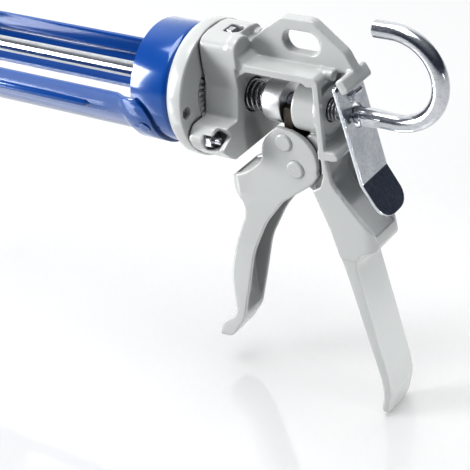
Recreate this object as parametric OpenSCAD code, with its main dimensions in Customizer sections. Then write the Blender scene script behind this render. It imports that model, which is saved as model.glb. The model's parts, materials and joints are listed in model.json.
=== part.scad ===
// Caulking gun with a half-shell cradle for one rigid 310 ml cartridge.
// Frame: +X runs forward along the push rod, +Y to the left, +Z up, in millimetres.
// The origin is on the rod's axis, at the rear face of the disc that carries the cradle.
// Seen from the rod's axis, an angle of 0 points straight down (-Z) and 90 points left (+Y).

/* [Push rod] */
// Diameter of the push rod
rod_d = 8; // [6:0.5:9]
// Radius of the hook's bend, measured to the rod's centre line
hook_bend_r = 22.2; // [18:0.1:24]
// Where the hook's bend begins on the rod
hook_start_x = -95.6; // [-100:0.1:-93]
// Front end of the rod, inside the piston
rod_front_x = 227; // [180:1:229]

/* [Cradle] */
// Diameter of the cartridge that the cradle takes
cartridge_d = 50; // [49:0.5:51]
// Thickness of the painted steel sheet
sheet_t = 1.5; // [1:0.1:1.8]
// Clear length between the cartridge's seat and the front cap
cradle_len = 221; // [190:1:235]
// How far the shell wraps up each side, measured from straight down
shell_wrap = 94.6; // [85:0.1:100]
// Half angle of the long window in the shell's underside
window_wrap = 41; // [25:1:45]
// Width of the slot that the cartridge's nozzle drops into
nozzle_slot_w = 17; // [14:0.5:20]

/* [Swivel] */
// Outer radius of the disc that the cradle turns on
disc_r = 33; // [32:0.1:35]
// Thickness of the disc
disc_t = 10.5; // [9:0.1:12]
// Radius of the circle that the body's three studs lie on
stud_circle_r = 28.5; // [27.5:0.1:29]
// Outer radius of the ring that carries the shell
ring_r = 29; // [28.5:0.1:29.5]
// Front edge of the ring
ring_front_x = 32.5; // [28:0.1:36]

/* [Body] */
// Half width of the cast body
body_half_w = 12; // [11.5:0.1:12.5]
// Thickness of the hanging web
web_t = 5.5; // [4:0.5:6]
// Rear face of the body's front block
block_rear_x = -19; // [-20:0.1:-18]
// Rear face of the body's side strips
strip_rear_x = -62.5; // [-64:0.1:-62]
// Half width of the handle
handle_half_w = 11.4; // [11:0.1:12]
// Wall thickness of the handle's channel
handle_wall = 3; // [2.5:0.1:3.5]

/* [Trigger] */
// Half width of the trigger
trigger_half_w = 11.6; // [11.4:0.1:12]
// Thickness of the trigger's cheeks
cheek_t = 2.9; // [2.4:0.1:3]
// Radius of the trigger's pivot pin
pivot_pin_r = 3.5; // [3:0.1:4]

/* [Drive] */
// Outer radius of the drive sleeve
sleeve_r = 10.5; // [10:0.1:11]
// Length of the drive sleeve
sleeve_len = 9.7; // [9.5:0.1:11]
// Turns of the return spring
return_turns = 6; // [4:0.5:7]
// Turns of the brake spring
brake_turns = 4; // [3:0.5:5]

/* [Hidden] */
$fn = 64;
eps = 0.01;

// Fits between pieces
run_gap = 0.05;
free_gap = 0.3;
cartridge_gap = 1.5;

rod_r = rod_d / 2;
disc_front_x = disc_t;
flange_gap = 0.3;
flange_rear_x = disc_front_x + flange_gap;
flange_front_x = flange_rear_x + sheet_t;
hub_front_x = flange_front_x + flange_gap;
hub_r = 22;
retainer_t = 2;
seat_x = hub_front_x + retainer_t;
cap_rear_x = seat_x + cradle_len;
cap_t = 2;
cap_front_x = cap_rear_x + cap_t;
shell_inner_r = cartridge_d / 2 + cartridge_gap;
shell_outer_r = shell_inner_r + sheet_t;
tab_inner_r = ring_r + run_gap;
tab_outer_r = tab_inner_r + sheet_t;
tab_rear_x = 22.5;
stud_angles = [180, 62, 298];

// Trigger pivot, pusher pin and release plate pivot, as [x, z]
pivot = [-45.6, -28.8];
pusher = [-40.5, -15.6];
release_pivot = [-70, 17];
release_tilt = 12.7;

// ---- outlines -------------------------------------------------------------------------------

function unit(v) = v / norm(v);
function xy(p) = [p[0], p[1]];

// Points of one corner at b, rounded with radius r
function corner_arc(a, b, c, r, n) =
    r <= 0 ? [b] :
    let(
        u = unit(a - b),
        w = unit(c - b),
        half = acos(u * w) / 2,
        o = b + unit(u + w) * r / sin(half),
        p = b + u * r / tan(half),
        q = b + w * r / tan(half),
        a0 = atan2(p.y - o.y, p.x - o.x),
        a1 = atan2(q.y - o.y, q.x - o.x),
        sweep = (a1 - a0 + 540) % 360 - 180
    )
    [for (k = [0:n]) o + r * [cos(a0 + sweep * k / n), sin(a0 + sweep * k / n)]];

// Closed outline through [x, y, corner radius] points
function rounded(pts, n = 5) =
    let(m = len(pts))
    [for (i = [0:m - 1])
        each corner_arc(xy(pts[(i + m - 1) % m]), xy(pts[i]), xy(pts[(i + 1) % m]), pts[i][2], n)];

// Extrudes an XZ outline along Y, from y0 to y1
module side(y0, y1) {
    translate([0, y1, 0]) rotate([90, 0, 0]) linear_extrude(y1 - y0) children();
}

// Both mirrored halves of something built at +Y
module both_sides() {
    children();
    mirror([0, 1, 0]) children();
}

// Extrudes a YZ outline along X, from x0 to x1
module along(x0, x1) {
    translate([x0, 0, 0]) rotate([90, 0, 90]) linear_extrude(x1 - x0) children();
}

// Revolves an [r, x] outline round the rod's axis
module revolve(start = 0, sweep = 360) {
    rotate([0, 90, 0]) rotate([0, 0, start]) rotate_extrude(angle = sweep, $fn = 96) children();
}

// Cylinder along X, from x0 to x1, at [y, z]
module bar_x(r, x0, x1, y = 0, z = 0) {
    translate([x0, y, z]) rotate([0, 90, 0]) cylinder(r = r, h = x1 - x0);
}

// Cylinder along Y, from y0 to y1, at [x, z]
module bar_y(r, y0, y1, x, z) {
    translate([x, y1, z]) rotate([90, 0, 0]) cylinder(r = r, h = y1 - y0);
}

// Places children at radius r and at an angle from straight down, seen along the rod
module at_angle(r, angle) {
    translate([0, r * sin(angle), -r * cos(angle)]) children();
}

// Swept wire helix along X with an outer radius r
module helix(r, wire_r, x0, x1, turns) {
    steps = 20;
    sides = 8;
    n = turns * steps;
    mid_r = r - wire_r;
    pitch = (x1 - x0 - 2 * wire_r) / turns;
    points = [for (i = [0:n]) for (k = [0:sides - 1])
        let(a = 360 * i / steps, b = 360 * k / sides, rr = mid_r + wire_r * cos(b))
        [x0 + wire_r + pitch * i / steps + wire_r * sin(b), rr * cos(a), rr * sin(a)]];
    skin = [for (i = [0:n - 1]) for (k = [0:sides - 1])
        let(j = (k + 1) % sides)
        [i * sides + k, i * sides + j, (i + 1) * sides + j, (i + 1) * sides + k]];
    rear_end = [[for (k = [sides - 1:-1:0]) k]];
    front_end = [[for (k = [0:sides - 1]) n * sides + k]];
    polyhedron(points, concat(skin, rear_end, front_end), convexity = 10);
}

// ---- cradle ---------------------------------------------------------------------------------

bead_r = 2.6;
bead_groove_r = 1.2;
bead_angle = 75;
bead_rear_x = 64;
bead_front_x = 209;
bead_end_len = 3.5;
rivet_r = 1.6;
rear_rivet = [27.8, 64];
front_rivet = [cap_rear_x - 5, 62];

module shell_bead(angle) {
    at_angle(shell_inner_r + sheet_t / 2, angle) {
        bar_x(bead_r, bead_rear_x, bead_front_x);
        translate([bead_front_x, 0, 0]) rotate([0, 90, 0]) cylinder(r1 = bead_r, r2 = 0.8, h = bead_end_len);
        translate([bead_rear_x, 0, 0]) rotate([0, -90, 0]) cylinder(r1 = bead_r, r2 = 0.8, h = bead_end_len);
    }
}

module rivet_holes() {
    for (rivet = [rear_rivet, front_rivet], s = [-1, 1])
        translate([rivet[0], 0, 0]) rotate([s * rivet[1], 0, 0]) mirror([0, 0, 1])
            translate([0, 0, shell_inner_r - 3]) cylinder(r = rivet_r, h = 9);
}

module cradle_shell() {
    joggle_rear_x = 36;
    joggle_front_x = 42;
    window_rear_x = 33.5;
    window_front_x = cap_rear_x - 13;
    window_r = 8;
    window_half = shell_inner_r * sin(window_wrap);
    corner_r = 14;
    tab_top_z = tab_outer_r * sin(shell_wrap - 90) + 1.5;
    color([0.10, 0.30, 0.68]) difference() {
        union() {
            revolve(-shell_wrap, 2 * shell_wrap)
                polygon([
                    [shell_inner_r, cap_rear_x], [shell_inner_r, joggle_front_x],
                    [tab_inner_r, joggle_rear_x], [tab_inner_r, tab_rear_x],
                    [tab_outer_r, tab_rear_x], [tab_outer_r, joggle_rear_x + 0.5],
                    [shell_outer_r, joggle_front_x + 0.5], [shell_outer_r, cap_rear_x]
                ]);
            for (s = [-1, 1]) shell_bead(s * bead_angle);
        }
        // The beads are pressed from inside, so a shallow groove follows each one
        for (s = [-1, 1]) at_angle(shell_inner_r, s * bead_angle)
            bar_x(bead_groove_r, bead_rear_x, bead_front_x);
        bar_x(shell_inner_r, bead_rear_x - 5, bead_front_x + 5);
        // Long window in the underside
        translate([0, 0, -tab_outer_r - 2]) linear_extrude(tab_outer_r - 8)
            polygon(rounded([
                [window_rear_x, -window_half, window_r], [window_front_x, -window_half, window_r],
                [window_front_x, window_half, window_r], [window_rear_x, window_half, window_r]
            ]));
        // Rounded upper corners of the tab that laps the ring
        side(-tab_outer_r - 1, tab_outer_r + 1) difference() {
            translate([tab_rear_x - 1, tab_top_z - corner_r]) square([corner_r + 1, corner_r + 1]);
            translate([tab_rear_x + corner_r, tab_top_z - corner_r]) circle(corner_r);
        }
        rivet_holes();
    }
}

module rear_ring() {
    shoulder_r = 4;
    color([0.10, 0.30, 0.68]) difference() {
        revolve() polygon(rounded([
            [hub_r + run_gap, flange_rear_x, 0], [ring_r, flange_rear_x, shoulder_r],
            [ring_r, ring_front_x, 0.4], [ring_r - sheet_t, ring_front_x, 0.4],
            [ring_r - sheet_t, flange_front_x, shoulder_r - sheet_t], [hub_r + run_gap, flange_front_x, 0]
        ]));
        rivet_holes();
    }
}

module front_cap() {
    rim_inner_r = shell_outer_r + run_gap;
    rim_outer_r = rim_inner_r + sheet_t;
    rim_len = 10;
    top_z = 13;
    color([0.10, 0.30, 0.68]) difference() {
        union() {
            revolve(-shell_wrap, 2 * shell_wrap)
                translate([rim_inner_r, cap_rear_x - rim_len]) square([sheet_t, rim_len + cap_t]);
            intersection() {
                bar_x(rim_outer_r, cap_rear_x, cap_front_x);
                along(cap_rear_x - 1, cap_front_x + 1) polygon(rounded([
                    [-rim_outer_r, -rim_outer_r, 0], [rim_outer_r, -rim_outer_r, 0],
                    [rim_outer_r, top_z, 5], [-rim_outer_r, top_z, 5]
                ]));
            }
        }
        // Slot that the nozzle drops into from above
        bar_x(nozzle_slot_w / 2, cap_rear_x - 1, cap_front_x + 1);
        translate([cap_rear_x - 1, -nozzle_slot_w / 2, 0]) cube([cap_t + 2, nozzle_slot_w, 40]);
        rivet_holes();
    }
}

module rivet(shank_start_r, shank_end_r) {
    head_r = 3.2;
    head_t = 0.45;
    mirror([0, 0, 1]) {
        translate([0, 0, shank_start_r]) cylinder(r = rivet_r - run_gap, h = shank_end_r - shank_start_r);
        translate([0, 0, shank_end_r]) cylinder(r1 = head_r, r2 = head_r - head_t, h = head_t);
    }
}

module cradle_rivets() {
    color([0.12, 0.33, 0.70]) for (s = [-1, 1]) {
        translate([rear_rivet[0], 0, 0]) rotate([s * rear_rivet[1], 0, 0])
            rivet(ring_r - sheet_t + 0.1, tab_outer_r + 0.15);
        translate([front_rivet[0], 0, 0]) rotate([s * front_rivet[1], 0, 0])
            rivet(shell_inner_r + 0.1, shell_outer_r + sheet_t + 0.2);
    }
}

// ---- swivel ---------------------------------------------------------------------------------

stud_r = 2;
stud_depth = 7.5;
set_screw_r = 3;
set_screw_depth = 8.8;
washer_r = 18.7;
washer_t = 1.5;
retainer_screw_r = 1.6;
retainer_screw_circle_r = 15;
retainer_screw_angles = [0, 120, 240];

module mounting_disc() {
    rear_edge_r = 1;
    front_edge_r = 5;
    color([0.80, 0.80, 0.78]) difference() {
        revolve() polygon(rounded([
            [rod_r + free_gap, 0, 0], [disc_r, 0, rear_edge_r], [disc_r, disc_front_x, front_edge_r],
            [hub_r, disc_front_x, 0], [hub_r, hub_front_x, 0], [rod_r + free_gap, hub_front_x, 0]
        ]));
        for (a = stud_angles) at_angle(stud_circle_r, a) bar_x(stud_r, -1, stud_depth);
        for (a = [90, 270]) at_angle(stud_circle_r, a) bar_x(set_screw_r, -1, set_screw_depth);
        bar_x(washer_r + run_gap, -1, washer_t);
        for (a = retainer_screw_angles)
            at_angle(retainer_screw_circle_r, a) bar_x(retainer_screw_r, 5, hub_front_x + 1);
    }
}

// Hard washer let into the disc, with a ring of fine radial teeth that bite into the body
module toothed_washer() {
    tooth_count = 36;
    tooth_depth = 0.55;
    color([0.78, 0.78, 0.78]) difference() {
        bar_x(washer_r, 0, washer_t);
        bar_x(rod_r + free_gap, -1, washer_t + 1);
        for (k = [0:tooth_count - 1]) rotate([k * 360 / tooth_count, 0, 0])
            translate([0, 0, 13]) rotate([0, 0, 45])
                translate([-tooth_depth, -tooth_depth, 0]) cube([2 * tooth_depth, 2 * tooth_depth, 8]);
    }
}

module swivel_retainer() {
    retainer_r = 26;
    color([0.72, 0.73, 0.74]) difference() {
        bar_x(retainer_r, hub_front_x, seat_x);
        bar_x(rod_r + free_gap, hub_front_x - 1, seat_x + 1);
        for (a = retainer_screw_angles) at_angle(retainer_screw_circle_r, a) {
            bar_x(retainer_screw_r, hub_front_x - 1, seat_x + 1);
            translate([hub_front_x + 0.2, 0, 0]) rotate([0, 90, 0])
                cylinder(r1 = retainer_screw_r, r2 = 3.5, h = retainer_t - 0.2 + eps);
        }
    }
}

module retainer_screws() {
    color([0.70, 0.70, 0.72]) for (a = retainer_screw_angles) at_angle(retainer_screw_circle_r, a)
        difference() {
            union() {
                bar_x(retainer_screw_r - run_gap, 6, hub_front_x + 0.4);
                translate([hub_front_x + 0.3, 0, 0]) rotate([0, 90, 0])
                    cylinder(r1 = retainer_screw_r - run_gap, r2 = 3.3, h = retainer_t - 0.4);
            }
            for (turn = [0, 90]) translate([seat_x - 0.7, 0, 0]) rotate([turn, 0, 0])
                translate([0, -2.2, -0.35]) cube([2, 4.4, 0.7]);
        }
}

module swivel_set_screws() {
    front_x = 8.5;
    rear_x = 2.4;
    color([0.70, 0.70, 0.72]) for (a = [90, 270]) at_angle(stud_circle_r, a) difference() {
        bar_x(set_screw_r - run_gap, rear_x, front_x);
        translate([rear_x - 1, 0, 0]) rotate([0, 90, 0]) cylinder(r = 1.5, h = 3, $fn = 6);
    }
}

// ---- body -----------------------------------------------------------------------------------

pocket_front_x = -8;
pocket_rear_x = -16.4;
top_front_x = -17.4;
top_rear_x = -20.4;
boss_front_x = -46.2;
boss_r = 12;
channel_floor_x = -59.5;
spring_pocket_r = 8.3;
spring_pocket_x = -13;
brake_pocket_r = 5.6;
brake_pocket_x = -56;
nut_across = 7;
nut_t = 3.6;
tongue_half_w = 8.3;
fork_slot_r = 5.6;
channel_half_w = 8.6;
lip_rear_x = -88.2;
foot_z = -162.2;
step_z = -72;

// One half of the base that sits on the disc, as [y, z]
function base_half() = [
    [5, 32.6, 10], [13.8, 30.8, 5.5], [13.8, 20, 6], [12.9, 8, 5], [15.8, -6.5, 1.5], [26.5, -6.5, 4],
    [31, -12, 3], [28.5, -17.5, 3], [22.8, -23.2, 4], [13, -30, 4]
];

function mirrored(p) = [for (i = [len(p) - 1:-1:0]) [-p[i][0], p[i][1], p[i][2]]];

module base_outline() {
    polygon(rounded(concat(base_half(), mirrored(base_half()))));
}

// Pocket for a nut, with a round rear end, open in the direction given by an angle
module nut_pocket(angle, opens) {
    half_w = 4.1;
    inner_depth = 4.4;
    at_angle(stud_circle_r, angle) rotate([opens, 0, 0]) mirror([0, 0, 1]) translate([0, 0, -inner_depth])
        linear_extrude(inner_depth + 12) polygon(rounded([
            [pocket_rear_x, -half_w, half_w - 0.1], [pocket_front_x, -half_w, 0],
            [pocket_front_x, half_w, 0], [pocket_rear_x, half_w, half_w - 0.1]
        ], 8));
}

module nut_pockets() {
    spanner_angle = 80;
    nut_pocket(stud_angles[0], 180);
    both_sides() {
        nut_pocket(stud_angles[1], spanner_angle);
        // The upper half of each lower pocket is open to the rear as well
        at_angle(stud_circle_r, stud_angles[1]) rotate([stud_angles[1], 0, 0]) mirror([0, 0, 1])
            translate([pocket_rear_x - 5, 0, -3.5]) cube([8, 9, 15]);
    }
}

// Side outline of the hanging web and its nose over the release plate, as [x, z]
web_outline = [
    [-12, 20, 0], [-12, 27.5, 0], [-20, 27.5, 2], [-29, 36, 16], [-37.8, 42.2, 6], [-54.6, 42.6, 6],
    [-70.6, 29.8, 6], [-76, 20, 2], [-74, 17, 0], [-70.5, 19.5, 2], [-62, 19, 0], [-60, 20, 0]
];
web_near_y = 0.3;

// Side outline of the rear strips and the handle, as [x, z]
handle_outline = [
    [-57, 21, 0], [-50, 21, 0], [-50, -20, 0], [-52.6, -34.5, 2], [-61.6, -57, 20], [-69.2, -84.2, 60],
    [-76.6, -114, 60], [-82.6, -138, 30], [-83.6, -148, 16], [-81.2, -160.4, 1.1], [-84, foot_z, 1.1],
    [-87.9, -146, 14], [-86.9, -136, 30], [-83.9, -121.7, 50], [-78.3, -96, 50], [-74, -76, 8],
    [-76.5, -68.5, 5], [-87.2, -64.5, 3.6], [-84.6, -56.5, 3], [-72.9, -42.9, 20], [-64.5, -32.5, 12],
    [strip_rear_x, -20, 12], [strip_rear_x, 21, 3]
];

// Hollow of the handle, open towards the trigger
handle_hollow = [
    [-46, -44, 0], [-58.5, -46, 3], [-64.8, -58, 8], [-70.4, -76, 30], [-74.9, -97, 50],
    [-80.5, -121, 50], [-83.6, -134, 10], [-82.6, -142, 2], [-70, -142, 0]
];

// Channel down the back between the side strips
back_channel = [
    [-70, 16, 0], [channel_floor_x, 16, 2], [channel_floor_x, -24, 12], [-61.5, -37.5, 10],
    [-70, -47.5, 20], [-80.5, -57, 3], [-84, -58.5, 0], [-92, -50, 0]
];

module handle_solid() {
    difference() {
        side(-body_half_w, body_half_w) polygon(rounded(handle_outline));
        // The handle is a little narrower than the body above it
        both_sides() translate([0, handle_half_w, 0]) side(0, 5) polygon([
            [-120, step_z], [-60, step_z], [-60, foot_z - 8], [-120, foot_z - 8]
        ]);
        side(handle_wall - handle_half_w, handle_half_w - handle_wall) polygon(rounded(handle_hollow));
        side(-channel_half_w, channel_half_w) polygon(rounded(back_channel));
        // Rounded corners of the lip under the thumb plate, seen from above
        both_sides() corner_cut([lip_rear_x, body_half_w], 9, step_z, -50);
        // Rounded corners at the foot of the handle, seen from behind
        both_sides() translate([-95, handle_half_w, foot_z]) rotate([90, 0, 90])
            linear_extrude(25) mirror([1, 0]) foot_corner(7);
    }
}

// Cuts a vertical edge at [x, y] to a radius, between two heights
module corner_cut(edge, r, z0, z1) {
    translate([edge.x, edge.y, z0]) linear_extrude(z1 - z0) difference() {
        translate([-1, -r]) square([r + 1, r + 1]);
        translate([r, -r]) circle(r);
    }
}

// What rounds off a square corner at the origin, in the first quadrant
module foot_corner(r) {
    difference() {
        translate([-1, -1]) square([r + 1, r + 1]);
        translate([r, r]) circle(r);
    }
}

// Recess that the trigger's head turns in, outside the central tongue
module trigger_recess() {
    recess_r = 17.4;
    recess_centre = [-43.1, -23];
    both_sides() side(tongue_half_w, body_half_w + 1) union() {
        translate(recess_centre) circle(recess_r);
        polygon([[-61, -28], [-58.5, -35.5], [-52, -39.5], [-30, -60], [-20, -20]]);
    }
}

module tongue() {
    lug_r = 7.4;
    side(-tongue_half_w, tongue_half_w) union() {
        translate(pivot) circle(lug_r);
        polygon(rounded([
            [-46, -21.5, 0], [-52, -10.8, 3], [-61, -10.8, 0], [-61, -44, 0], [-57.6, -45, 0], [-46, -36.2, 0]
        ]));
    }
}

// Block that stands on the disc, with a lobe round each nut
module front_block() {
    underside_drop = 31;
    underside_rise = 6.5;
    joint_relief = 0.7;
    difference() {
        union() {
            along(block_rear_x, -joint_relief) base_outline();
            // A shallow groove runs round the joint with the disc
            along(block_rear_x, 0) offset(delta = -joint_relief) base_outline();
        }
        // The underside rises towards the rear
        translate([0, 0, -underside_drop]) rotate([0, atan(underside_rise / -block_rear_x), 0])
            translate([-40, -40, -20]) cube([60, 80, 20]);
        // Above the flange the block ends sooner
        translate([block_rear_x - 1, -20, 21]) cube([top_front_x - block_rear_x + 1, 40, 20]);
    }
    // Round-topped shoulder on each side of the web
    along(top_rear_x, top_front_x + 2) {
        polygon(rounded([[13.8, 19, 0], [13.8, 32.6, 5.8], [0.8, 32.6, 5.2], [0.8, 19, 0]]));
        polygon(rounded([[-13.8, 19, 0], [-5.6, 19, 0], [-5.6, 29.5, 3], [-13.8, 29.5, 5]]));
    }
}

module body_casting() {
    color([0.80, 0.80, 0.78]) difference() {
        union() {
            front_block();
            // Top flange, with fillets where it meets the block and the strips
            side(-body_half_w, body_half_w) polygon(rounded([
                [-12, 14, 0], [-12, 24, 0], [top_rear_x, 24, 0], [-24, 21, 3], [-60, 21, 0], [-60, 17.4, 0],
                [-57, 15, 2], [-54, 17.4, 3], [-24, 17.4, 3], [block_rear_x, 14, 0]
            ]));
            side(web_near_y - web_t, web_near_y) polygon(rounded(web_outline));
            // Peg beside the web, and the cross bar that the top of the release plate hangs in
            bar_x(2.6, -65.6, -58, web_near_y + 2, 18.9);
            side(-10.3, 10.3) polygon(rounded([
                [-74.3, 22.6, 1.5], [-78, 16.4, 1.5], [-73.8, 13.6, 1.5], [-70.2, 20, 1.5]
            ]));
            // Rod boss
            bar_x(boss_r, strip_rear_x + 1, boss_front_x);
            difference() {
                handle_solid();
                trigger_recess();
                // Nothing but the boss and the tongue stands ahead of the strips
                translate([-59.4, -20, -22]) cube([20, 40, 39.4]);
            }
            tongue();
            // Bar across the strips, which the release plate comes up against
            side(-body_half_w, body_half_w) polygon(rounded([
                [-59, -15.7, 0], [-67.9, -15.5, 1.2], [-70, -17.6, 1], [-68.8, -19.9, 1], [-59, -20.5, 0]
            ]));
        }
        // Hanging hole
        side(-web_t - 1, web_t) polygon(rounded([
            [-38.4, 25.5, 5.5], [-57.7, 25.5, 5.5], [-57.7, 36.7, 5.5], [-38.4, 36.7, 5.5]
        ], 8));
        nut_pockets();
        for (a = stud_angles) at_angle(stud_circle_r, a) bar_x(stud_r + run_gap, pocket_rear_x + 2, 1);
        // Rod guides and spring pockets
        bar_x(rod_r + free_gap, block_rear_x - 1, 1);
        bar_x(rod_r + run_gap, strip_rear_x - 1, boss_front_x + 1);
        bar_x(spring_pocket_r, block_rear_x - 1, spring_pocket_x);
        bar_x(brake_pocket_r, strip_rear_x - 1, brake_pocket_x);
        bar_y(pivot_pin_r + run_gap, -body_half_w - 1, body_half_w + 1, pivot[0], pivot[1]);
        // Slot in the tongue for the drive fork's foot
        side(-tongue_half_w - eps, tongue_half_w + eps) translate(pusher) circle(fork_slot_r);
    }
}

stud_rear_x = pocket_rear_x + 0.8;

module body_studs() {
    color([0.72, 0.73, 0.75]) for (a = stud_angles) at_angle(stud_circle_r, a) {
        bar_x(stud_r - run_gap, stud_rear_x + 0.6, stud_depth - 0.5);
        translate([stud_rear_x, 0, 0]) rotate([0, 90, 0])
            cylinder(r1 = stud_r - 0.6, r2 = stud_r - run_gap, h = 0.6);
    }
}

// Hexagon nuts with one flat facing outwards and chamfered rear corners
module body_nuts() {
    corner_r = nut_across / sqrt(3);
    chamfer = 0.5;
    color([0.76, 0.77, 0.79]) for (a = stud_angles) at_angle(stud_circle_r, a)
        rotate([a == stud_angles[0] ? a : 90 * sign(sin(a)), 0, 0]) difference() {
            intersection() {
                translate([pocket_front_x - nut_t, 0, 0]) rotate([0, 90, 0]) rotate([0, 0, 30])
                    cylinder(r = corner_r, h = nut_t, $fn = 6);
                union() {
                    bar_x(corner_r + 1, pocket_front_x - nut_t + chamfer, pocket_front_x);
                    translate([pocket_front_x - nut_t, 0, 0]) rotate([0, 90, 0])
                        cylinder(r1 = corner_r - chamfer, r2 = corner_r, h = chamfer + eps);
                }
            }
            bar_x(stud_r - 0.02, pocket_front_x - nut_t - 1, pocket_front_x + 1);
        }
}

// ---- rod and piston -------------------------------------------------------------------------

piston_rear_x = 220;
piston_t = 2;
piston_r = 23;
thread_r = 3;
piston_washer_t = 1.4;

// Straight stretch of the rod whose two wings are pressed out flat
module crimp(x0, x1) {
    wing_half_w = 5.6;
    wing_t = 3.4;
    translate([0, 0, -wing_t / 2]) linear_extrude(wing_t) polygon(rounded([
        [x0, -wing_half_w, 2.5], [x1, -wing_half_w, 2.5], [x1, wing_half_w, 2.5], [x0, wing_half_w, 2.5]
    ]));
}

module push_rod() {
    tail_len = 9;
    tail_chamfer = 1;
    color([0.78, 0.80, 0.82]) union() {
        bar_x(rod_r, hook_start_x, piston_rear_x);
        bar_x(thread_r, piston_rear_x - 1, rod_front_x);
        translate([hook_start_x, 0, hook_bend_r]) rotate([90, 0, 0])
            rotate([0, 0, 90]) rotate_extrude(angle = 180) translate([hook_bend_r, 0]) circle(rod_r);
        bar_x(rod_r, hook_start_x, hook_start_x + tail_len - tail_chamfer, 0, 2 * hook_bend_r);
        translate([hook_start_x + tail_len - tail_chamfer, 0, 2 * hook_bend_r]) rotate([0, 90, 0])
            cylinder(r1 = rod_r, r2 = rod_r - tail_chamfer, h = tail_chamfer);
        crimp(-88.5, -77);
    }
}

module piston_plate() {
    rim_h = 4;
    color([0.76, 0.78, 0.80]) revolve() polygon(rounded([
        [thread_r + run_gap, piston_rear_x, 0], [piston_r, piston_rear_x, 1.8],
        [piston_r, piston_rear_x + rim_h + piston_t, 0.6],
        [piston_r - piston_t, piston_rear_x + rim_h + piston_t, 0.6],
        [piston_r - piston_t, piston_rear_x + piston_t, 1.2],
        [thread_r + run_gap, piston_rear_x + piston_t, 0]
    ]));
}

module piston_washer() {
    piston_washer_r = 9;
    color([0.74, 0.76, 0.78]) difference() {
        bar_x(piston_washer_r, piston_rear_x + piston_t, piston_rear_x + piston_t + piston_washer_t);
        bar_x(thread_r + run_gap, piston_rear_x, rod_front_x);
    }
}

module piston_nut() {
    piston_nut_r = 5.8;
    piston_nut_t = 3.4;
    nut_rear_x = piston_rear_x + piston_t + piston_washer_t;
    color([0.74, 0.76, 0.78]) difference() {
        translate([nut_rear_x, 0, 0]) rotate([0, 90, 0])
            cylinder(r = piston_nut_r, h = piston_nut_t, $fn = 6);
        bar_x(thread_r + run_gap, nut_rear_x - 1, rod_front_x + 1);
    }
}

// ---- drive ----------------------------------------------------------------------------------

sleeve_front_x = -29.5;
sleeve_rear_x = sleeve_front_x - sleeve_len;
sleeve_bore_r = 8.7;
sleeve_floor_t = 1.6;
cover_t = 1.2;
grip_t = 2;
grip_r = 8.4;
grip_gap = 0.15;

module drive_sleeve() {
    color([0.85, 0.86, 0.88]) revolve() polygon(rounded([
        [rod_r + free_gap, sleeve_rear_x, 0], [sleeve_r, sleeve_rear_x, 0.5],
        [sleeve_r, sleeve_front_x, 0.5], [sleeve_bore_r, sleeve_front_x, 0],
        [sleeve_bore_r, sleeve_rear_x + sleeve_floor_t, 0],
        [rod_r + free_gap, sleeve_rear_x + sleeve_floor_t, 0]
    ]));
}

module grip_plate(index) {
    rear_x = sleeve_rear_x + sleeve_floor_t + grip_gap + index * (grip_t + grip_gap);
    color([0.45, 0.45, 0.47]) difference() {
        bar_x(grip_r, rear_x, rear_x + grip_t);
        bar_x(rod_r + run_gap, rear_x - 1, rear_x + grip_t + 1);
    }
}

module grip_plate_front() { grip_plate(2); }
module grip_plate_middle() { grip_plate(1); }
module grip_plate_rear() { grip_plate(0); }

module sleeve_cover() {
    color([0.80, 0.81, 0.83]) difference() {
        bar_x(sleeve_bore_r - 0.02, sleeve_front_x - cover_t, sleeve_front_x);
        bar_x(rod_r + free_gap, sleeve_front_x - cover_t - 1, sleeve_front_x + 1);
    }
}

module return_spring() {
    color([0.62, 0.62, 0.60])
        helix(7.6, 0.6, sleeve_front_x + 0.05, spring_pocket_x - 0.05, return_turns);
}

// ---- trigger --------------------------------------------------------------------------------

trigger_head_r = 15.3;
trigger_head = [-42.5, -24.5];
cheek_inner = trigger_half_w - cheek_t;

tip_z = -145.4;

// Side outline of the trigger below its round head, as [x, z]
trigger_outline = [
    [-45, -9.2, 0], [-36, -8.2, 3], [-32.4, -17.5, 12], [-24.5, -30, 12], [-16, -37.4, 30],
    [-4.8, -41.2, 4.5], [-8.2, -48.5, 8], [-13.4, -56, 9], [-11.6, -63.5, 12], [-3, -82, 40],
    [2.4, -101, 40], [2.4, -127, 9], [12.4, -133.6, 7], [16.6, tip_z, 1.2], [7, -141.6, 12],
    [-1.6, -128.5, 20], [-7.2, -108.5, 60], [-13.4, -84.5, 50], [-23.4, -65, 40], [-35.5, -49.5, 16],
    [-53.6, -35.8, 12], [-58, -30, 2]
];

// Space between the cheeks, open to the rear; a shelf and the front wall are left standing
trigger_hollow = [
    [-75, 0, 0], [-20, 0, 0], [-29.5, -24.5, 2], [-27.5, -31, 6], [-18.5, -39, 8], [-11, -44.6, 2],
    [-16.6, -56, 8], [-14.8, -65, 12], [-6, -83.5, 40], [-0.8, -101.5, 40], [-0.9, -118, 10],
    [-3.6, -128, 0], [-75, -128, 0]
];

// Recess in the top of the finger rest
rest_recess = [[-24.5, -20, 0], [-24.5, -31.6, 0], [-16.2, -38.8, 20], [-8.2, -41.4, 1], [-8.2, -20, 0]];

// Below the head the trigger narrows to a lower half width, from one height to another
low_half_w = 9.2;
low_cheek_t = 2.2;
narrow_from_z = -50;
narrow_to_z = -80;
lowest_z = -150;

pin_head_r = 4.8;
pin_head_t = 1;

// Low domed head of a pin, outside the trigger's cheeks
module pin_heads(y, at) {
    both_sides() translate([at[0], y, at[1]]) rotate([-90, 0, 0])
        cylinder(r1 = pin_head_r, r2 = pin_head_r - pin_head_t, h = pin_head_t);
}

// Section of the space between the cheeks, as [y, z]
module hollow_section() {
    low_inner = low_half_w - low_cheek_t;
    polygon([
        [-cheek_inner, 20], [-cheek_inner, narrow_from_z], [-low_inner, narrow_to_z], [-low_inner, lowest_z],
        [low_inner, lowest_z], [low_inner, narrow_to_z], [cheek_inner, narrow_from_z], [cheek_inner, 20]
    ]);
}

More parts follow.
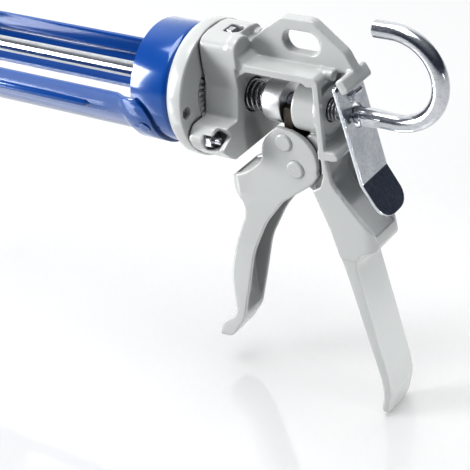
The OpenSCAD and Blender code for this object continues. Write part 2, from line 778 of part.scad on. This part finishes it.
module trigger() {
    color([0.80, 0.80, 0.78]) difference() {
        union() {
            side(-trigger_half_w, trigger_half_w) polygon(rounded(trigger_outline));
            bar_y(trigger_head_r, -trigger_half_w, trigger_half_w, trigger_head[0], trigger_head[1]);
        }
        both_sides() along(-40, 20) polygon([
            [trigger_half_w, narrow_from_z], [low_half_w, narrow_to_z], [low_half_w, lowest_z],
            [trigger_half_w + 1, lowest_z], [trigger_half_w + 1, narrow_from_z]
        ]);
        intersection() {
            side(-cheek_inner, cheek_inner) polygon(rounded(trigger_hollow));
            along(-75, 20) hollow_section();
        }
        side(-cheek_inner, cheek_inner) polygon(rounded(rest_recess));
        bar_y(pivot_pin_r + run_gap, -20, 20, pivot[0], pivot[1]);
        bar_y(pusher_shank_r, -20, 20, pusher[0], pusher[1]);
        // Rounded corners of the finger rest, seen from above, and of the tip, seen from behind
        mirror([1, 0, 0]) both_sides() corner_cut([5, trigger_half_w], 7, -60, -30);
        both_sides() translate([0, low_half_w, tip_z]) rotate([90, 0, 90])
            linear_extrude(25) mirror([1, 0]) foot_corner(6);
    }
}

module trigger_pivot_pin() {
    color([0.79, 0.79, 0.77]) union() {
        bar_y(pivot_pin_r, -trigger_half_w - 0.1, trigger_half_w + 0.1, pivot[0], pivot[1]);
        pin_heads(trigger_half_w + 0.05, pivot);
    }
}

pusher_shank_r = 2.4;

module pusher_pin() {
    color([0.79, 0.79, 0.77]) union() {
        bar_y(pusher_shank_r - 0.02, -trigger_half_w, trigger_half_w, pusher[0], pusher[1]);
        pin_heads(trigger_half_w, pusher);
    }
}

module drive_fork() {
    foot_r = 4.6;
    half_w = cheek_inner - free_gap;
    prong_inner = rod_r + 0.6;
    prong_front_x = sleeve_rear_x - 0.5;
    prong_rear_x = prong_front_x - 4.8;
    prong_top_z = 1;
    color([0.72, 0.73, 0.74]) difference() {
        side(-half_w, half_w) union() {
            translate(pusher) circle(foot_r);
            polygon(rounded([
                [prong_front_x, -13, 0], [prong_front_x, prong_top_z, 1.5],
                [prong_rear_x, prong_top_z, 1.5], [prong_rear_x, -14, 3], [-42.5, -19.5, 0]
            ]));
        }
        side(-prong_inner, prong_inner) polygon([
            [-50, -8], [-30, -8], [-30, 5], [-50, 5]
        ]);
        bar_y(pusher_shank_r + run_gap, -20, 20, pusher[0], pusher[1]);
    }
}

// ---- release --------------------------------------------------------------------------------

release_t = 2;
release_half_w = 11;

module release_plate() {
    bend_z = -48;
    foot_len = 20;
    foot_tilt = 20;
    rod_hole_half_h = 5.6;
    color([0.76, 0.78, 0.80]) translate([release_pivot[0], 0, release_pivot[1]]) rotate([0, release_tilt, 0])
        difference() {
            union() {
                // Upright stretch
                along(-release_t / 2, release_t / 2) polygon(rounded([
                    [-release_half_w, bend_z, 0], [release_half_w, bend_z, 0],
                    [release_half_w, 0.4, 2], [-release_half_w, 0.4, 2]
                ]));
                // Thumb stretch, bent to the rear, with a rounded end
                translate([0, 0, bend_z]) rotate([0, foot_tilt, 0])
                    along(-release_t / 2, release_t / 2) polygon(rounded([
                        [-release_half_w, 0.3, 0], [-release_half_w, -foot_len, 8],
                        [release_half_w, -foot_len, 8], [release_half_w, 0.3, 0]
                    ]));
                // Lug pressed out of the plate, which hooks under the cross bar
                side(-3.5, 2) polygon(rounded([
                    [-0.5, -8, 0], [-4.4, -4.8, 0.6], [-5.4, -6.2, 0.6], [-0.5, -11.5, 0]
                ]));
            }
            // Hole for the rod, a slot so that the plate can tilt on it
            translate([0, 0, -release_pivot[1] / cos(release_tilt)])
                along(-5, 5) polygon(rounded([
                    [-rod_r - 0.4, -rod_hole_half_h, rod_r], [rod_r + 0.4, -rod_hole_half_h, rod_r],
                    [rod_r + 0.4, rod_hole_half_h, rod_r], [-rod_r - 0.4, rod_hole_half_h, rod_r]
                ], 8));
        }
}

module brake_spring() {
    rear_x = -67.4;
    color([0.70, 0.71, 0.72]) helix(5.2, 0.45, rear_x, brake_pocket_x - 0.05, brake_turns);
}

cradle_shell();
rear_ring();
front_cap();
cradle_rivets();
mounting_disc();
toothed_washer();
swivel_retainer();
retainer_screws();
swivel_set_screws();
body_casting();
body_studs();
body_nuts();
push_rod();
piston_plate();
piston_washer();
piston_nut();
drive_sleeve();
grip_plate_front();
grip_plate_middle();
grip_plate_rear();
sleeve_cover();
return_spring();
trigger();
trigger_pivot_pin();
pusher_pin();
drive_fork();
release_plate();
brake_spring();
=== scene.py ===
"""Caulking gun on a white table, seen from behind, the left and above."""
import json
import math

import bmesh
import bpy
from mathutils import Matrix, Vector


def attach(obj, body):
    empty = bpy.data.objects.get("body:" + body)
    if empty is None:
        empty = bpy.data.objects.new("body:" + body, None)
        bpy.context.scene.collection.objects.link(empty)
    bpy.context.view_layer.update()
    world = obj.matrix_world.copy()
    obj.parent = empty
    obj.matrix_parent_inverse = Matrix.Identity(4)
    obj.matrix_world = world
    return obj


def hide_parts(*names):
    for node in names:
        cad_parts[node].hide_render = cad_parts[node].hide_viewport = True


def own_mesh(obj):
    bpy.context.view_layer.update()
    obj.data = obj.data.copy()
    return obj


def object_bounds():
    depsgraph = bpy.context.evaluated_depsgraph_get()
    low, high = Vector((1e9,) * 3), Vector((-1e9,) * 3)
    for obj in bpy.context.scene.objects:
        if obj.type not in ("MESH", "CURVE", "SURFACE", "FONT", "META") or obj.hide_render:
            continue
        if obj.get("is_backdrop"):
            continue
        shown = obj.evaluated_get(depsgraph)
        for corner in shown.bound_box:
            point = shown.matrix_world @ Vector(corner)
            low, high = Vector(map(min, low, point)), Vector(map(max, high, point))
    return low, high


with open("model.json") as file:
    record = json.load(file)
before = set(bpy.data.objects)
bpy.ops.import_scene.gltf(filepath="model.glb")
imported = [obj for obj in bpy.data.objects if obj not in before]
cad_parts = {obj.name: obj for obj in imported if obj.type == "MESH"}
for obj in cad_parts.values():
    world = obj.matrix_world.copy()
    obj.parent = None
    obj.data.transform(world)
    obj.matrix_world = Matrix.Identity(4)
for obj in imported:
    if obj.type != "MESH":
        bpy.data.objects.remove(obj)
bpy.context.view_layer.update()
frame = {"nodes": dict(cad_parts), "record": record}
SLOTS = {part["node"]: part["material_slot"] for part in frame["record"]["subparts"]}
MM = 0.001

# ---- camera, light and floor ----------------------------------------------------------------

# Place in metres, lens in millimetres, angles in degrees: the azimuth runs from -Y towards +X,
# the camera looks down below the horizon and is rolled clockwise.
CAMERA_PLACE = Vector((-0.41628, 0.53220, 0.33034))
CAMERA_AZIMUTH = 38.307
CAMERA_DOWN = 31.42
CAMERA_ROLL = 7.706
CAMERA_LENS = 120.95
CAMERA_CLIP = (0.01, 50)

# Name, place and aim in metres, size in metres, power in watts, spread in degrees
LAMPS = (
    ("overhead", (0.05, 0.10, 1.10), (-0.02, 0, 0), (0.9, 0.9), 12.5, 180),
    ("left_low", (1.00, 0.80, 0.30), (-0.03, 0, -0.03), (0.50, 0.70), 18, 180),
    ("rear_low", (-1.00, 0.03, -0.08), (-0.08, 0, -0.12), (0.4, 0.10), 0.16, 16),
)

# The room's colours below and above, and the heights of the sky between which they blend
ROOM_LOW = (0.060, 0.070, 0.095, 1)
ROOM_HIGH = (0.30, 0.31, 0.33, 1)
ROOM_RISE = (0.25, 0.95)

# A white backdrop beyond the gun: its direction, and the cosines between which it fades in
BACKDROP = (1.0, 1.0, 1.0, 1)
BACKDROP_TOWARD = (0.52, -0.74, 0.42)
BACKDROP_EDGE = (0.55, 0.90)

FLOOR_GAP = 0.0003
FLOOR_HALF = 6
FLOOR_TONE = 0.36
FLOOR_ROUGHNESS = 0.06
FLOOR_SHEEN = 0.9
FLOOR_GLOW = 0.36

VIEW_EXPOSURE = 0.18
VIEW_GAMMA = 0.75


def camera():
    a, e, r = (math.radians(v) for v in (CAMERA_AZIMUTH, CAMERA_DOWN, CAMERA_ROLL))
    look = Vector((math.sin(a) * math.cos(e), -math.cos(a) * math.cos(e), -math.sin(e)))
    right = look.cross(Vector((0, 0, 1))).normalized()
    up = right.cross(look)
    right, up = right * math.cos(r) - up * math.sin(r), right * math.sin(r) + up * math.cos(r)
    data = bpy.data.cameras.new("camera")
    data.lens = CAMERA_LENS
    data.clip_start, data.clip_end = CAMERA_CLIP
    cam = bpy.data.objects.new("camera", data)
    bpy.context.collection.objects.link(cam)
    cam.matrix_world = Matrix((
        (right.x, up.x, -look.x, CAMERA_PLACE.x),
        (right.y, up.y, -look.y, CAMERA_PLACE.y),
        (right.z, up.z, -look.z, CAMERA_PLACE.z),
        (0, 0, 0, 1),
    ))
    bpy.context.scene.camera = cam


def area_light(name, place, aim, size, power, spread):
    data = bpy.data.lights.new(name, "AREA")
    data.shape = "RECTANGLE"
    data.size, data.size_y = size
    data.energy = power
    data.spread = math.radians(spread)
    lamp = bpy.data.objects.new(name, data)
    bpy.context.collection.objects.link(lamp)
    lamp.location = place
    lamp.rotation_euler = (Vector(aim) - Vector(place)).to_track_quat("-Z", "Y").to_euler()


def studio():
    """A dim room, brighter overhead, with a backdrop beyond the gun and three lamps."""
    world = bpy.data.worlds.new("studio")
    world.use_nodes = True
    nodes, links = world.node_tree.nodes, world.node_tree.links
    toward = nodes.new("ShaderNodeTexCoord").outputs["Generated"]

    def ramp(value, ends):
        step = nodes.new("ShaderNodeMapRange")
        step.interpolation_type = "SMOOTHSTEP"
        step.inputs["From Min"].default_value, step.inputs["From Max"].default_value = ends
        links.new(value, step.inputs["Value"])
        return step.outputs["Result"]

    def blend(factor, colour):
        """Blends towards the colour as the factor goes from 0 to 1."""
        node = nodes.new("ShaderNodeMix")
        node.data_type = "RGBA"
        node.inputs["B"].default_value = colour
        links.new(factor, node.inputs["Factor"])
        return node

    split = nodes.new("ShaderNodeSeparateXYZ")
    links.new(toward, split.inputs[0])
    room = blend(ramp(split.outputs["Z"], ROOM_RISE), ROOM_HIGH)
    room.inputs["A"].default_value = ROOM_LOW

    facing = nodes.new("ShaderNodeVectorMath")
    facing.operation = "DOT_PRODUCT"
    facing.inputs[1].default_value = BACKDROP_TOWARD
    links.new(toward, facing.inputs[0])
    paper = blend(ramp(facing.outputs["Value"], BACKDROP_EDGE), BACKDROP)
    links.new(room.outputs["Result"], paper.inputs["A"])
    links.new(paper.outputs["Result"], nodes["Background"].inputs["Color"])
    bpy.context.scene.world = world

    for lamp in LAMPS:
        area_light(*lamp)


def floor():
    """A glossy white table that glows a little, so that shadows on it stay faint."""
    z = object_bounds()[0].z - FLOOR_GAP
    corners = [(FLOOR_HALF * x, FLOOR_HALF * y, z) for x, y in ((-1, -1), (1, -1), (1, 1), (-1, 1))]
    mesh = bpy.data.meshes.new("floor")
    mesh.from_pydata(corners, [], [(0, 1, 2, 3)])
    ob = bpy.data.objects.new("floor", mesh)
    bpy.context.collection.objects.link(ob)
    mat = bpy.data.materials.new("floor_white")
    mat.use_nodes = True
    bsdf = mat.node_tree.nodes["Principled BSDF"]
    bsdf.inputs["Base Color"].default_value = (FLOOR_TONE, FLOOR_TONE, FLOOR_TONE, 1)
    bsdf.inputs["Roughness"].default_value = FLOOR_ROUGHNESS
    bsdf.inputs["Specular IOR Level"].default_value = FLOOR_SHEEN
    bsdf.inputs["Emission Color"].default_value = (1, 1, 1, 1)
    bsdf.inputs["Emission Strength"].default_value = FLOOR_GLOW
    mesh.materials.append(mat)
    ob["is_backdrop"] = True


def view():
    settings = bpy.context.scene.view_settings
    settings.view_transform = "Standard"
    settings.exposure = VIEW_EXPOSURE
    settings.gamma = VIEW_GAMMA


# ---- materials ------------------------------------------------------------------------------

# The turns of the surface, as 1 less their cosine, between which a place becomes an edge
EDGE_TURN = (0.01, 0.12)
EDGE_SAMPLES = 6

# Painted shade in a joint or crease, darkest where it is most enclosed: its reach in millimetres, the
# openness between which it fades, its strength, and its shade beside the enamel's own
CREASE_REACH = 2.2
CREASE_OPEN = (0.25, 0.80)
CREASE_STRENGTH = 0.75
CREASE_SHADE = 0.12
CREASE_SAMPLES = 8

# The stretch of a noise that is spread over the whole of a range
NOISE_LOW, NOISE_HIGH = 0.3, 0.7

# Noises as cells per millimetre, detail and roughness
ENAMEL_PATCHES = (0.03, 2.0, 0.5)
ENAMEL_RUBBING = (0.35, 5.0, 0.6)
ENAMEL_CHIPPING = (1.1, 6.0, 0.65)
ENAMEL_GLOSS = (0.9, 2.0, 0.5)
ENAMEL_PEEL = (0.45, 1.0, 0.5)
ENAMEL_FINE_PEEL = (3.2, 2.0, 0.5)
PLATED_CLOUDS = (0.12, 5.0, 0.6)

# Wear on enamel: how far it reaches from an edge in millimetres, the noise between which rubbing
# comes in and how far it goes, and a chip's border, depth in millimetres and bareness
ENAMEL_EDGE = 0.7
RUBBED_FROM = (0.40, 0.75)
RUBBED_MOST = 0.7
CHIP_BORDER = 0.03
CHIP_DEPTH = 0.04
CHIP_BARE = 0.9
FINE_PEEL = 0.12

# Plating: the strength and shade of its crystals and of its drawing lines, the noise between
# which a line comes in, and the width in millimetres and strength of a polished edge
CRYSTAL_STRENGTH = 0.22
CRYSTAL_SHADE = 0.55
LINE_STRENGTH = 0.55
LINE_SHADE = 0.35
LINE_FROM = (0.54, 0.70)
PLATED_EDGE = 0.5
POLISHED_MOST = 0.7


def shade(colour, factor=1.0):
    return (*[v * factor for v in colour], 1)


class Finish:
    """A principled material, with helpers that work in millimetres of the object's own space."""

    def __init__(self, name):
        self.material = bpy.data.materials.new(name)
        self.material.use_nodes = True
        self.nodes = self.material.node_tree.nodes
        self.links = self.material.node_tree.links
        self.bsdf = self.nodes["Principled BSDF"]
        self.coord = self.nodes.new("ShaderNodeTexCoord").outputs["Object"]
        self.heights = []

    def fixed(self, **values):
        for socket, value in values.items():
            self.bsdf.inputs[socket.replace("_", " ")].default_value = value

    def add(self, kind, inputs=(), **settings):
        """A shader node; each input is a socket with its value or with the output to link."""
        node = self.nodes.new("ShaderNode" + kind)
        for key, value in settings.items():
            setattr(node, key, value)
        for socket, value in inputs:
            if isinstance(value, bpy.types.NodeSocket):
                self.links.new(value, node.inputs[socket])
            else:
                node.inputs[socket].default_value = value
        return node

    def place(self, per_mm):
        """Object coordinates scaled so that one cell is 1 / per_mm millimetres along each axis."""
        scale = per_mm if isinstance(per_mm, tuple) else (per_mm,) * 3
        node = self.add("Mapping", [("Vector", self.coord), ("Scale", tuple(v / MM for v in scale))])
        return node.outputs["Vector"]

    def noise(self, per_mm, detail, roughness):
        node = self.add("TexNoise", [
            ("Vector", self.place(per_mm)), ("Scale", 1.0), ("Detail", detail), ("Roughness", roughness)])
        return node.outputs["Fac"]

    def crystals(self, per_mm):
        """A random shade from 0 to 1 for each crystal of a plated grain."""
        node = self.add("TexVoronoi", [("Vector", self.place(per_mm)), ("Scale", 1.0)])
        return self.span(node.outputs["Color"], 0.0, 1.0)

    def span(self, value, low, high, out_low=0.0, out_high=1.0):
        """Stretches low to high over out_low to out_high, and stops at both ends."""
        node = self.add("MapRange", [
            ("Value", value), ("From Min", low), ("From Max", high),
            ("To Min", out_low), ("To Max", out_high)])
        return node.outputs["Result"]

    def spread(self, noise, out_low=0.0, out_high=1.0):
        """Spreads a noise over out_low to out_high."""
        return self.span(noise, NOISE_LOW, NOISE_HIGH, out_low, out_high)

    def math(self, operation, a, b):
        return self.add("Math", [(0, a), (1, b)], operation=operation).outputs[0]

    def mix(self, factor, a, b):
        node = self.add("Mix", [("Factor", factor), ("A", a), ("B", b)], data_type="RGBA")
        return node.outputs["Result"]

    def edges(self, radius):
        """1 on sharp edges, fading to 0 within the radius in millimetres."""
        soft = self.add("Bevel", [("Radius", radius * MM)], samples=EDGE_SAMPLES).outputs["Normal"]
        flat = self.add("NewGeometry").outputs["Normal"]
        turn = self.add("VectorMath", [(0, soft), (1, flat)], operation="DOT_PRODUCT").outputs["Value"]
        return self.span(self.math("SUBTRACT", 1.0, turn), *EDGE_TURN)

    def painted_crease_shade(self):
        """Painted shade from occlusion: CREASE_STRENGTH deep in a joint, fading to 0 in the open."""
        near = self.add("AmbientOcclusion", [("Distance", CREASE_REACH * MM)], samples=CREASE_SAMPLES)
        return self.span(near.outputs["AO"], *CREASE_OPEN, CREASE_STRENGTH, 0.0)

    def relief(self, height, depth):
        """Adds a bump whose full height is depth millimetres."""
        self.heights.append((height, depth))

    def into(self, socket, value):
        self.links.new(value, self.bsdf.inputs[socket])

    def done(self):
        """The material, with the bumps one upon the other."""
        below = []
        for height, depth in self.heights:
            bump = self.add("Bump", [("Height", height), ("Distance", depth * MM), ("Strength", 1.0)] + below)
            below = [("Normal", bump.outputs["Normal"])]
        self.into("Normal", bump.outputs["Normal"])
        return self.material


def enamel(name, light, dark, worn, bare, gloss, coat, haze, shine, peel, chips):
    """Enamel: two close shades, painted shade in joints, orange peel, thin worn edges and small chips.

    gloss is the range of the colour's roughness; coat, haze and shine are the clear coat's weight,
    roughness and refraction; peel is the orange peel's depth in millimetres; an edge is chipped
    down to the bare metal where a noise is above chips.
    """
    m = Finish(name)
    m.fixed(Coat_Weight=coat, Coat_Roughness=haze, Coat_IOR=shine, Specular_IOR_Level=0.5)
    edge = m.edges(ENAMEL_EDGE)
    paint = m.mix(m.spread(m.noise(*ENAMEL_PATCHES)), shade(dark), shade(light))
    # Painted shade: the enamel darkens in joints and creases, where less light reaches
    paint = m.mix(m.painted_crease_shade(), paint, shade(dark, CREASE_SHADE))
    rubbed = m.span(m.noise(*ENAMEL_RUBBING), *RUBBED_FROM, 0.0, RUBBED_MOST)
    paint = m.mix(m.math("MULTIPLY", edge, rubbed), paint, shade(worn))
    chipped = m.span(m.noise(*ENAMEL_CHIPPING), chips, chips + CHIP_BORDER)
    chip = m.math("MULTIPLY", edge, chipped)
    m.into("Base Color", m.mix(chip, paint, shade(bare)))
    m.into("Metallic", m.math("MULTIPLY", chip, CHIP_BARE))
    m.into("Roughness", m.spread(m.noise(*ENAMEL_GLOSS), *gloss))
    m.relief(m.noise(*ENAMEL_PEEL), peel)
    m.relief(m.noise(*ENAMEL_FINE_PEEL), peel * FINE_PEEL)
    m.relief(m.math("SUBTRACT", 1.0, chip), CHIP_DEPTH)
    return m.done()


def plated(name, light, dark, grain, gloss, depth, streak=None, contrast=1.0, edge_tone=(0.9, 0.91, 0.92)):
    """Zinc or steel: crystalline grain, drawing lines where streak is given, and polished edges.

    grain is the number of crystals in a millimetre, gloss the range of the roughness, depth the
    relief in millimetres, and contrast how strongly the grain and the lines show.
    """
    m = Finish(name)
    m.fixed(Metallic=1.0)
    crystals = m.crystals(grain)
    body = m.mix(m.spread(m.noise(*PLATED_CLOUDS)), shade(dark), shade(light))
    darker = m.math("MULTIPLY", crystals, CRYSTAL_STRENGTH * contrast)
    body = m.mix(darker, body, shade(dark, CRYSTAL_SHADE))
    if streak:
        lines = m.noise(streak, 4.0, 0.7)
        drawn = m.span(lines, *LINE_FROM, 0.0, LINE_STRENGTH * contrast)
        body = m.mix(drawn, body, shade(dark, LINE_SHADE))
        m.relief(lines, depth * 2)
    polished = m.math("MULTIPLY", m.edges(PLATED_EDGE), POLISHED_MOST)
    m.into("Base Color", m.mix(polished, body, shade(edge_tone)))
    m.into("Roughness", m.spread(m.noise(grain * 0.5, 5.0, 0.6), *gloss))
    m.relief(crystals, depth)
    m.relief(m.noise(grain * 1.7, 4.0, 0.6), depth)
    return m.done()


# What makes each material slot's finish, and its settings
FINISHES = {
    "blue_paint": (enamel, dict(
        name="blue_enamel", light=(0.0030, 0.085, 0.33), dark=(0.0025, 0.076, 0.30),
        worn=(0.010, 0.11, 0.40), bare=(0.30, 0.31, 0.33), gloss=(0.18, 0.22),
        coat=0.9, haze=0.11, shine=1.58, peel=0.007, chips=0.80)),
    "grey_paint": (enamel, dict(
        name="grey_enamel", light=(0.500, 0.512, 0.504), dark=(0.490, 0.502, 0.494),
        worn=(0.52, 0.53, 0.52), bare=(0.42, 0.42, 0.42), gloss=(0.20, 0.24),
        coat=0.5, haze=0.10, shine=1.5, peel=0.006, chips=0.84)),
    "pin_steel": (enamel, dict(
        name="pin_enamel", light=(0.500, 0.512, 0.504), dark=(0.480, 0.490, 0.484),
        worn=(0.52, 0.52, 0.52), bare=(0.45, 0.45, 0.45), gloss=(0.22, 0.28),
        coat=0.4, haze=0.10, shine=1.5, peel=0.008, chips=0.78)),
    "rod_zinc": (plated, dict(
        name="rod_zinc_plate", light=(0.80, 0.82, 0.84), dark=(0.66, 0.68, 0.71),
        grain=2.2, gloss=(0.10, 0.24), depth=0.003, streak=(0.02, 1.6, 1.6))),
    "zinc_plate": (plated, dict(
        name="sheet_zinc_plate", light=(0.80, 0.82, 0.84), dark=(0.62, 0.65, 0.69),
        grain=1.3, gloss=(0.10, 0.26), depth=0.014)),
    "bright_steel": (plated, dict(
        name="turned_steel", light=(0.84, 0.84, 0.84), dark=(0.72, 0.72, 0.73),
        grain=2.5, gloss=(0.30, 0.36), depth=0.0006, streak=(1.8, 0.03, 0.03), contrast=0.25)),
    # Nearly black steel: its darkness is partly painted shade, standing in for the shade of the gap behind
    # the sleeve where the grip plates sit
    "hard_steel": (plated, dict(
        name="dark_steel_with_painted_shade", light=(0.13, 0.115, 0.10), dark=(0.075, 0.065, 0.055),
        grain=1.8, gloss=(0.38, 0.55), depth=0.006, edge_tone=(0.24, 0.22, 0.20))),
    "screw_steel": (plated, dict(
        name="screw_zinc", light=(0.74, 0.75, 0.77), dark=(0.55, 0.56, 0.59),
        grain=2.4, gloss=(0.16, 0.30), depth=0.004)),
    "spring_steel": (plated, dict(
        name="spring_wire", light=(0.62, 0.62, 0.62), dark=(0.40, 0.40, 0.41),
        grain=2.8, gloss=(0.16, 0.30), depth=0.003)),
}


def paint_all(pieces):
    """Gives every CAD node, and every new piece, the finish of its slot."""
    made = {}
    for node, ob in list(frame["nodes"].items()) + pieces:
        slot = SLOTS[node]
        if slot not in made:
            finish, settings = FINISHES[slot]
            made[slot] = finish(**settings)
        ob.data.materials.clear()
        ob.data.materials.append(made[slot])


# ---- pieces that stand for CAD nodes --------------------------------------------------------

# Each cast or tumbled piece: node, body, voxel in millimetres and passes of smoothing.
# Gaps that are welded are in millimetres too.
CASTINGS = (
    ("body_casting", "frame", 0.5, 6),
    ("trigger", "trigger", 0.42, 6),
    ("drive_fork", "fork", 0.25, 4),
    ("release_plate", "release", 0.24, 3),
)
CAST_WELD_GAP = 0.002
CAST_SMOOTHING = 0.5

# Both springs in millimetres: outside radius, wire radius and the two ends along X.
RETURN_SPRING = (7.6, 0.6, -29.45, -13.05)
BRAKE_SPRING = (5.2, 0.45, -67.4, -56.05)
SPRING_TURNS = 6.5
CLOSED_TURNS = 0.8
CLOSED_PITCH_IN_WIRE_R = 2.04
COIL_STEPS, COIL_SIDES = 48, 14

# Bevels in millimetres on the pieces that keep their CAD mesh
SOFT_EDGES = {
    "cradle_shell": 0.35, "rear_ring": 0.35, "front_cap": 0.35, "cradle_rivets": 0.25,
    "mounting_disc": 0.3, "swivel_retainer": 0.3, "swivel_set_screws": 0.1,
    "piston_washer": 0.2, "piston_nut": 0.2, "body_nuts": 0.15,
    "drive_sleeve": 0.25, "sleeve_cover": 0.15,
    "grip_plate_front": 0.2, "grip_plate_middle": 0.2, "grip_plate_rear": 0.2,
    "trigger_pivot_pin": 0.3, "pusher_pin": 0.3,
}
SOFT_WELD_GAP = 0.004
SOFT_FLAT_ANGLE = 1.0
SOFT_EDGE_ANGLE = 34
SOFT_SEGMENTS = 2


def put(node, mesh, body):
    """A new piece that stands for a CAD node."""
    ob = bpy.data.objects.new(node + "_detailed", mesh)
    bpy.context.collection.objects.link(ob)
    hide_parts(node)
    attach(ob, body)
    return ob


def cast(node, voxel, passes):
    """The CAD node's shape, with every edge rounded as a casting's edges are."""
    mesh = frame["nodes"][node].data.copy()
    bm = bmesh.new()
    bm.from_mesh(mesh)
    bmesh.ops.remove_doubles(bm, verts=bm.verts, dist=CAST_WELD_GAP * MM)
    bm.to_mesh(mesh)
    bm.free()
    work = bpy.data.objects.new("work", mesh)
    bpy.context.collection.objects.link(work)
    grid = work.modifiers.new("grid", "REMESH")
    grid.mode = "VOXEL"
    grid.voxel_size = voxel * MM
    grid.use_smooth_shade = True
    soft = work.modifiers.new("soft", "SMOOTH")
    soft.factor = CAST_SMOOTHING
    soft.iterations = passes
    bpy.context.view_layer.update()
    done = bpy.data.meshes.new_from_object(work.evaluated_get(bpy.context.evaluated_depsgraph_get()))
    bpy.data.objects.remove(work)
    done.name = node
    for face in done.polygons:
        face.use_smooth = True
    return done


def coil(node, outer_r, wire_r, start_x, end_x):
    """Compression spring along X whose last turns lie against each other."""
    mid_r = outer_r - wire_r
    closed_pitch = CLOSED_PITCH_IN_WIRE_R * wire_r
    open_turns = SPRING_TURNS - 2 * CLOSED_TURNS
    open_length = end_x - start_x - 2 * wire_r - 2 * CLOSED_TURNS * closed_pitch
    open_pitch = open_length / open_turns

    def advance(turn):
        opened = min(max(turn - CLOSED_TURNS, 0), open_turns)
        return (turn - opened) * closed_pitch + opened * open_pitch

    bm = bmesh.new()
    rings = []
    for i in range(int(SPRING_TURNS * COIL_STEPS) + 1):
        turn = i / COIL_STEPS
        a = 2 * math.pi * turn
        ring = []
        for k in range(COIL_SIDES):
            b = 2 * math.pi * k / COIL_SIDES
            r = mid_r + wire_r * math.cos(b)
            x = start_x + wire_r + advance(turn) + wire_r * math.sin(b)
            ring.append(bm.verts.new((x * MM, r * math.cos(a) * MM, r * math.sin(a) * MM)))
        rings.append(ring)
    for one, two in zip(rings, rings[1:]):
        for k in range(COIL_SIDES):
            j = (k + 1) % COIL_SIDES
            bm.faces.new((one[k], one[j], two[j], two[k])).smooth = True
    bm.faces.new(rings[0][::-1])
    bm.faces.new(rings[-1])
    bmesh.ops.recalc_face_normals(bm, faces=bm.faces)
    mesh = bpy.data.meshes.new(node)
    bm.to_mesh(mesh)
    bm.free()
    return mesh


def soften(node, width):
    """Small rounded edges on a CAD node that keeps its mesh."""
    ob = frame["nodes"][node]
    weld = ob.modifiers.new("weld", "WELD")
    weld.merge_threshold = SOFT_WELD_GAP * MM
    flat = ob.modifiers.new("flat", "DECIMATE")
    flat.decimate_type = "DISSOLVE"
    flat.angle_limit = math.radians(SOFT_FLAT_ANGLE)
    bevel = ob.modifiers.new("edges", "BEVEL")
    bevel.width = width * MM
    bevel.segments = SOFT_SEGMENTS
    bevel.limit_method = "ANGLE"
    bevel.angle_limit = math.radians(SOFT_EDGE_ANGLE)
    bevel.harden_normals = True


def detail():
    """Makes the castings and springs, softens the other edges, and returns the new pieces."""
    pieces = [(node, put(node, cast(node, voxel, passes), body)) for node, body, voxel, passes in CASTINGS]
    spring = put("return_spring", coil("return_spring", *RETURN_SPRING), "frame")
    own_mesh(spring)
    brake = put("brake_spring", coil("brake_spring", *BRAKE_SPRING), "frame")
    for node, width in SOFT_EDGES.items():
        soften(node, width)
    return pieces + [("return_spring", spring), ("brake_spring", brake)]


camera()
studio()
floor()
paint_all(detail())
view()
